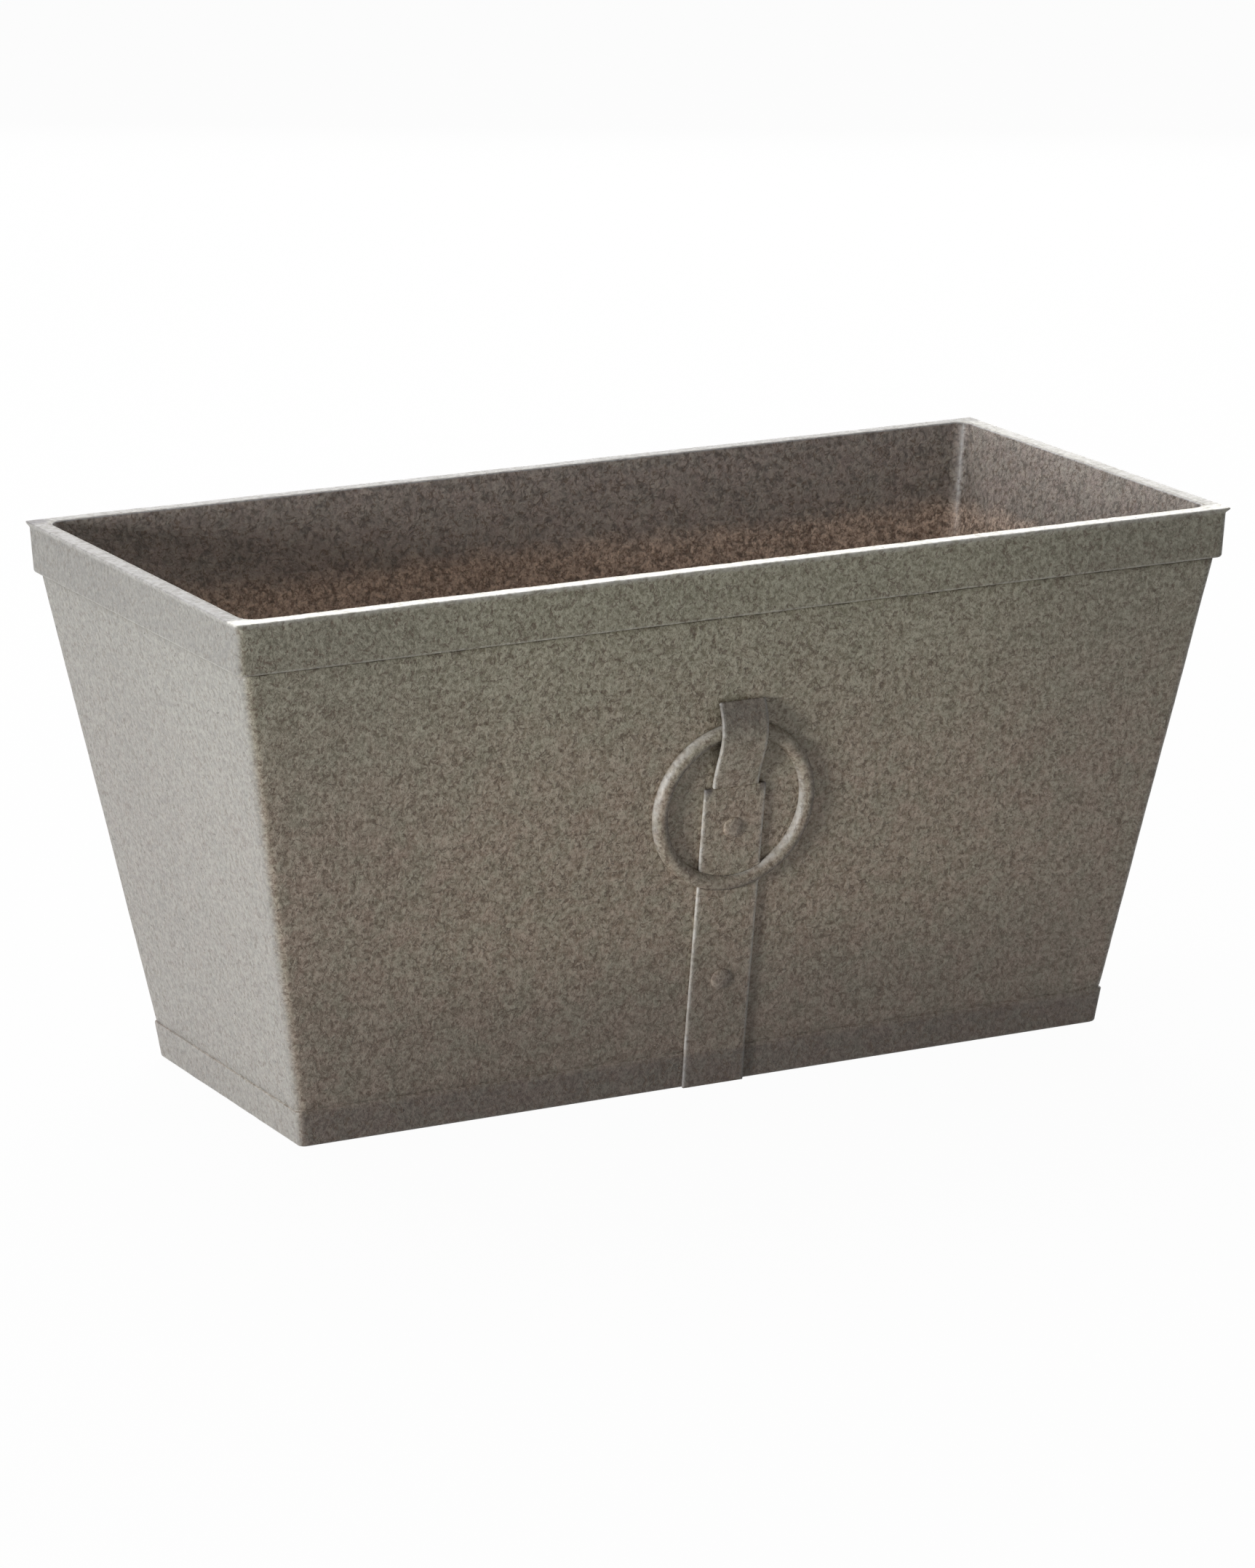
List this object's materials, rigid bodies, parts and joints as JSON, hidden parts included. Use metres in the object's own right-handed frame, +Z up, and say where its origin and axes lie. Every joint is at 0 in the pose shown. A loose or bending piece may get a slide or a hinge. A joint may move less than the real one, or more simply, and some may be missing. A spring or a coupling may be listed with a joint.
{
  "type": "trough planter",
  "caption": "Tapered rectangular trough planter with a banded rim, a low plinth and pull-out drain plugs; each long side has a riveted strap and a ring held flat on the wall under a loop.",
  "frame": {"origin": "middle of the base, on the plane that the planter stands on", "axes": "+Z up, +X along the length, -Y towards the front shown in the picture"},
  "size_m": [0.61, 0.2904, 0.3065],
  "materials": {
    "shell_finish": "moulded fibre-filled resin with a mottled brown-grey cast-iron finish, low sheen",
    "casting_finish": "resin castings with the shell's mottled iron finish, rubbed paler on their edges",
    "plug_rubber": "moulded black rubber, matt"
  },
  "bodies": {
    "planter": {"planter_shell": "shell_finish", "front_strap": "casting_finish", "front_ring": "casting_finish", "front_ring_loop": "casting_finish", "front_rivets": "casting_finish", "back_strap": "casting_finish", "back_ring": "casting_finish", "back_ring_loop": "casting_finish", "back_rivets": "casting_finish"},
    "left_plug": {"left_drain_plug": "plug_rubber"},
    "middle_plug": {"middle_drain_plug": "plug_rubber"},
    "right_plug": {"right_drain_plug": "plug_rubber"}
  },
  "joints": [
    {"name": "left_plug_pull", "type": "slide", "parent": "planter", "child": "left_plug", "axis": [0, 0, 1], "range_m": [0, 0.04]},
    {"name": "middle_plug_pull", "type": "slide", "parent": "planter", "child": "middle_plug", "axis": [0, 0, 1], "range_m": [0, 0.04]},
    {"name": "right_plug_pull", "type": "slide", "parent": "planter", "child": "right_plug", "axis": [0, 0, 1], "range_m": [0, 0.04]}
  ]
}
